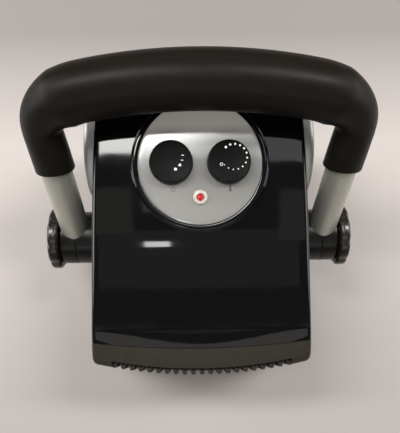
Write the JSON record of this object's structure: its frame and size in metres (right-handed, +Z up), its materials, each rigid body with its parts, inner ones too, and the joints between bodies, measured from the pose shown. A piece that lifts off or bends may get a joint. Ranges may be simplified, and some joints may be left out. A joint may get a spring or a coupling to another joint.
{
  "type": "ceramic space heater",
  "caption": "Portable fan heater: sloped gloss casing with round control panel and dials, slatted warm-air outlet, swinging carry handle on clamp pivots.",
  "frame": {"origin": "centre of the footprint, on the surface that the feet stand on", "axes": "+Z up, -Y out of the warm-air outlet, +X along the handle pivot line"},
  "size_m": [0.2764, 0.2498, 0.2668],
  "materials": {
    "shell_gloss_black": "polished black moulding",
    "base_matt_black": "fine textured black moulding",
    "bezel_charcoal": "satin charcoal moulding",
    "grille_charcoal": "satin charcoal moulding",
    "panel_silver": "satin silver panel",
    "dial_black": "satin black knob with white printed marks",
    "handle_silver": "satin silver grey tube",
    "grip_rubber": "matt soft-touch grip",
    "hub_black": "satin black moulding",
    "knob_black": "polished black clamp knob",
    "cover_silver": "satin silver side cover",
    "steel": "plain steel",
    "brass": "plain brass",
    "ceramic": "unglazed heating ceramic",
    "aluminium_fin": "folded aluminium fin",
    "moulding_cream": "heat-resistant moulding",
    "foot_rubber": "black rubber",
    "lamp_milky": "milky lamp surround",
    "lamp_red": "red lamp lens",
    "lamp_glass": "small glass neon lamp"
  },
  "bodies": {
    "casing": {"top_shell": "shell_gloss_black", "base_tub": "base_matt_black", "front_bezel": "bezel_charcoal", "outlet_grille": "grille_charcoal", "intake_grille": "base_matt_black", "control_panel": "panel_silver", "mode_switch": "moulding_cream", "thermostat_body": "steel", "lamp_ring": "lamp_milky", "lamp_lens": "lamp_red", "neon_lamp": "lamp_glass", "heater_frame": "moulding_cream", "terminal_left": "brass", "terminal_right": "brass", "thermal_cutoff": "steel", "fan_duct": "base_matt_black", "motor_bracket": "steel", "motor_body": "steel", "terminal_block": "moulding_cream", "cord_bushing": "foot_rubber", "friction_washer_left": "steel", "pivot_stub_left": "brass", "side_cover_left": "cover_silver", "friction_washer_right": "steel", "pivot_stub_right": "brass", "side_cover_right": "cover_silver", "ceramic_bar_1": "ceramic", "ceramic_bar_2": "ceramic", "ceramic_bar_3": "ceramic", "fin_strip_1": "aluminium_fin", "foot_1": "foot_rubber", "case_screw_1": "steel", "fin_strip_2": "aluminium_fin", "foot_2": "foot_rubber", "case_screw_2": "steel", "fin_strip_3": "aluminium_fin", "foot_3": "foot_rubber", "case_screw_3": "steel", "fin_strip_4": "aluminium_fin", "foot_4": "foot_rubber", "case_screw_4": "steel"},
    "handle": {"handle_tube": "handle_silver", "handle_grip": "grip_rubber", "hub_inner_left": "hub_black", "hub_outer_left": "hub_black", "hub_inner_right": "hub_black", "hub_outer_right": "hub_black"},
    "clamp_left": {"clamp_knob_left": "knob_black", "knob_cap_left": "hub_black", "knob_stud_left": "steel"},
    "clamp_right": {"clamp_knob_right": "knob_black", "knob_cap_right": "hub_black", "knob_stud_right": "steel"},
    "mode_control": {"mode_dial": "dial_black", "mode_shaft": "steel"},
    "thermostat_control": {"thermostat_dial": "dial_black", "thermostat_shaft": "steel"},
    "fan": {"fan_impeller": "base_matt_black", "motor_shaft": "steel"}
  },
  "joints": [
    {"name": "handle_swing", "type": "hinge", "parent": "casing", "child": "handle", "pos_m": [0, -0.00195, 0.095], "axis": [1, 0, 0], "range_deg": [-78, 91]},
    {"name": "clamp_left_turn", "type": "hinge", "parent": "casing", "child": "clamp_left", "pos_m": [0, -0.00195, 0.095], "axis": [-1, 0, 0], "range_deg": [0, 360]},
    {"name": "clamp_right_turn", "type": "hinge", "parent": "casing", "child": "clamp_right", "pos_m": [0, -0.00195, 0.095], "axis": [1, 0, 0], "range_deg": [0, 360]},
    {"name": "mode_turn", "type": "hinge", "parent": "casing", "child": "mode_control", "pos_m": [-0.0226, 0.03805, 0.193], "axis": [0, -0.1908, 0.9816], "range_deg": [-87, 0]},
    {"name": "thermostat_turn", "type": "hinge", "parent": "casing", "child": "thermostat_control", "pos_m": [0.0226, 0.03805, 0.193], "axis": [0, -0.1908, 0.9816], "range_deg": [-230, 38]},
    {"name": "fan_spin", "type": "hinge", "parent": "casing", "child": "fan", "pos_m": [0, 0.03405, 0.092], "axis": [0, 1, 0], "continuous": true}
  ]
}
